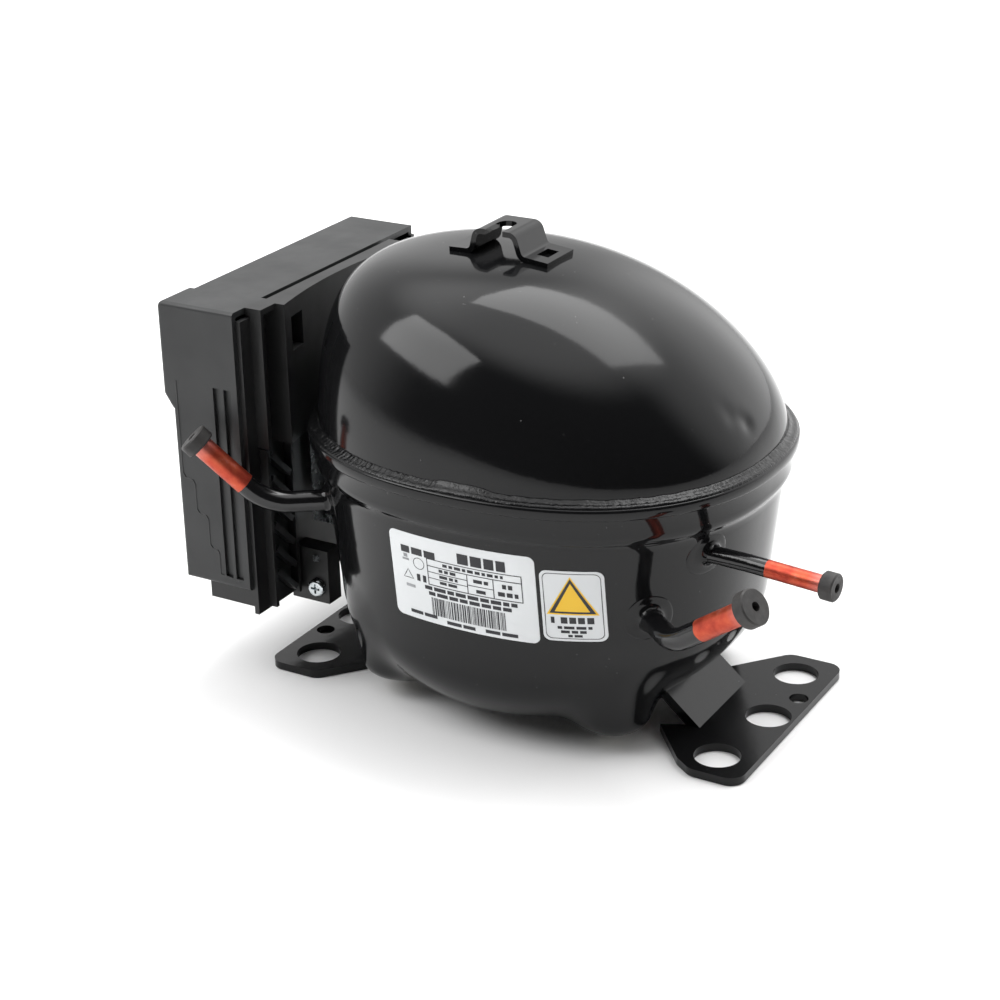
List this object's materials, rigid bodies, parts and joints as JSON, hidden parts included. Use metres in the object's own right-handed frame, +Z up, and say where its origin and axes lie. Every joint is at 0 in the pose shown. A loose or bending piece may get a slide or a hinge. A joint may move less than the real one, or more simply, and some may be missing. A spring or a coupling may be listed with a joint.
{
  "type": "hermetic reciprocating compressor",
  "caption": "Hermetic refrigeration compressor: oval welded shell on a bolted base, copper stub tubes with rubber plugs, and a plug-on inverter box.",
  "frame": {"origin": "centre of the four-hole base bolt pattern, on the underside of the base plates", "axes": "+X toward the suction and discharge tube end, -X toward the inverter box, -Y toward the rating label, +Z up"},
  "size_m": [0.2584, 0.1559, 0.176],
  "materials": {
    "shell_enamel": "gloss black stoved enamel",
    "weld_bead": "rough enamelled weld bead",
    "tube_copper": "bare copper at the end, black enamel toward the shell",
    "plug_rubber": "matte dark rubber",
    "label_film": "printed film, satin",
    "hazard_film": "printed film, satin",
    "box_plastic": "fine textured black plastic",
    "screw_zinc": "bright zinc",
    "terminal_steel": "plated steel",
    "terminal_glass": "dark sealing glass",
    "cast_block": "machined grey iron",
    "ground_steel": "ground steel",
    "lamination": "stacked electrical steel",
    "winding": "enamelled copper wire",
    "insulation": "moulded insulation",
    "magnet": "sintered magnet",
    "spring_steel": "spring wire",
    "seat_plastic": "natural nylon",
    "muffler_plastic": "cream heat-resistant plastic",
    "alloy": "die-cast alloy",
    "gasket": "fibre gasket",
    "circuit_board": "green solder mask",
    "capacitor_sleeve": "dark sleeved can",
    "ferrite": "wound coated core",
    "module_resin": "black moulding resin",
    "film_box": "yellow moulded box",
    "header_plastic": "white nylon connector",
    "lead_cover": "insulated wire"
  },
  "bodies": {
    "housing": {"lower_shell": "shell_enamel", "upper_shell": "shell_enamel", "seam_weld": "weld_bead", "base_plate_right": "shell_enamel", "base_plate_left": "shell_enamel", "top_bracket": "shell_enamel", "suction_tube": "tube_copper", "discharge_tube": "tube_copper", "process_tube": "tube_copper", "rating_label": "label_film", "hazard_label": "hazard_film", "terminal_body": "terminal_steel", "terminal_glass": "terminal_glass", "terminal_pins": "ground_steel", "terminal_fence": "terminal_steel", "motor_connector": "header_plastic", "lower_spring_seats": "seat_plastic", "inverter_base": "box_plastic", "base_screw": "screw_zinc", "earth_tab": "screw_zinc", "inverter_board": "circuit_board", "bus_capacitors": "capacitor_sleeve", "filter_choke": "ferrite", "power_module": "module_resin", "heat_sink": "alloy", "film_capacitors": "film_box", "power_connector": "header_plastic", "motor_header": "header_plastic"},
    "pump_frame": {"cylinder_block": "cast_block", "stator_core": "lamination", "stator_insulators": "insulation", "stator_windings": "winding", "stator_bolts": "ground_steel", "upper_spring_seats": "seat_plastic", "suspension_springs": "spring_steel", "thrust_bearing": "ground_steel", "cylinder_gasket": "gasket", "suction_reed": "spring_steel", "valve_plate": "ground_steel", "reed_stop": "ground_steel", "head_gasket": "gasket", "cylinder_head": "alloy", "head_bolts": "ground_steel", "suction_muffler": "muffler_plastic", "shock_loop": "tube_copper", "motor_leads": "lead_cover"},
    "rotor": {"crankshaft": "cast_block", "rotor_core": "lamination", "rotor_magnets": "magnet", "rotor_end_rings": "alloy", "oil_pickup": "ground_steel"},
    "stroke_link": {"gallery_plug": "ground_steel"},
    "piston_yoke": {"piston": "ground_steel", "crosshead": "ground_steel"},
    "slider": {"slide_block": "ground_steel"},
    "discharge_valve": {"discharge_reed": "spring_steel"},
    "cover": {"inverter_cover": "box_plastic"},
    "suction_plug": {"suction_plug": "plug_rubber"},
    "discharge_plug": {"discharge_plug": "plug_rubber"},
    "process_plug": {"process_plug": "plug_rubber"}
  },
  "joints": [
    {"name": "crank_spin", "type": "hinge", "parent": "pump_frame", "child": "rotor", "pos_m": [0, 0, 0.106], "axis": [0, 0, 1], "continuous": true},
    {"name": "link_turn", "type": "hinge", "parent": "rotor", "child": "stroke_link", "pos_m": [0.0046, 0, 0.028], "axis": [0, 0, 1], "continuous": true},
    {"name": "piston_turn", "type": "hinge", "parent": "stroke_link", "child": "piston_yoke", "pos_m": [0.0092, 0, 0.127], "axis": [0, 0, 1], "continuous": true},
    {"name": "slide_block_turn", "type": "hinge", "parent": "rotor", "child": "slider", "pos_m": [0.0092, 0, 0.127], "axis": [0, 0, 1], "continuous": true},
    {"name": "suspension_bounce", "type": "slide", "parent": "housing", "child": "pump_frame", "axis": [0, 0, 1], "range_m": [-0.0025, 0.0025], "stiffness_N_per_m": 24000, "springref_m": 0.002, "deforming": ["suspension_springs", "shock_loop", "motor_leads"]},
    {"name": "discharge_reed_lift", "type": "hinge", "parent": "pump_frame", "child": "discharge_valve", "pos_m": [-0.0571, -0.0085, 0.133], "axis": [0, 0, 1], "range_deg": [0, 3], "stiffness_Nm_per_rad": 0.05},
    {"name": "cover_pull_off", "type": "slide", "parent": "housing", "child": "cover", "axis": [-1, 0, 0], "range_m": [0, 0.045]},
    {"name": "suction_plug_pull", "type": "slide", "parent": "housing", "child": "suction_plug", "axis": [0.8017, -0.1416, 0.5807], "range_m": [0, 0.025]},
    {"name": "discharge_plug_pull", "type": "slide", "parent": "housing", "child": "discharge_plug", "axis": [0.9962, -0.0824, -0.0275], "range_m": [0, 0.025]},
    {"name": "process_plug_pull", "type": "slide", "parent": "housing", "child": "process_plug", "axis": [-0.6305, -0.3152, 0.7093], "range_m": [0, 0.025]}
  ],
  "couplings": [
    {"joint": "link_turn", "follows": "crank_spin", "ratio": -2},
    {"joint": "piston_turn", "follows": "crank_spin", "ratio": 1},
    {"joint": "slide_block_turn", "follows": "crank_spin", "ratio": -1}
  ]
}
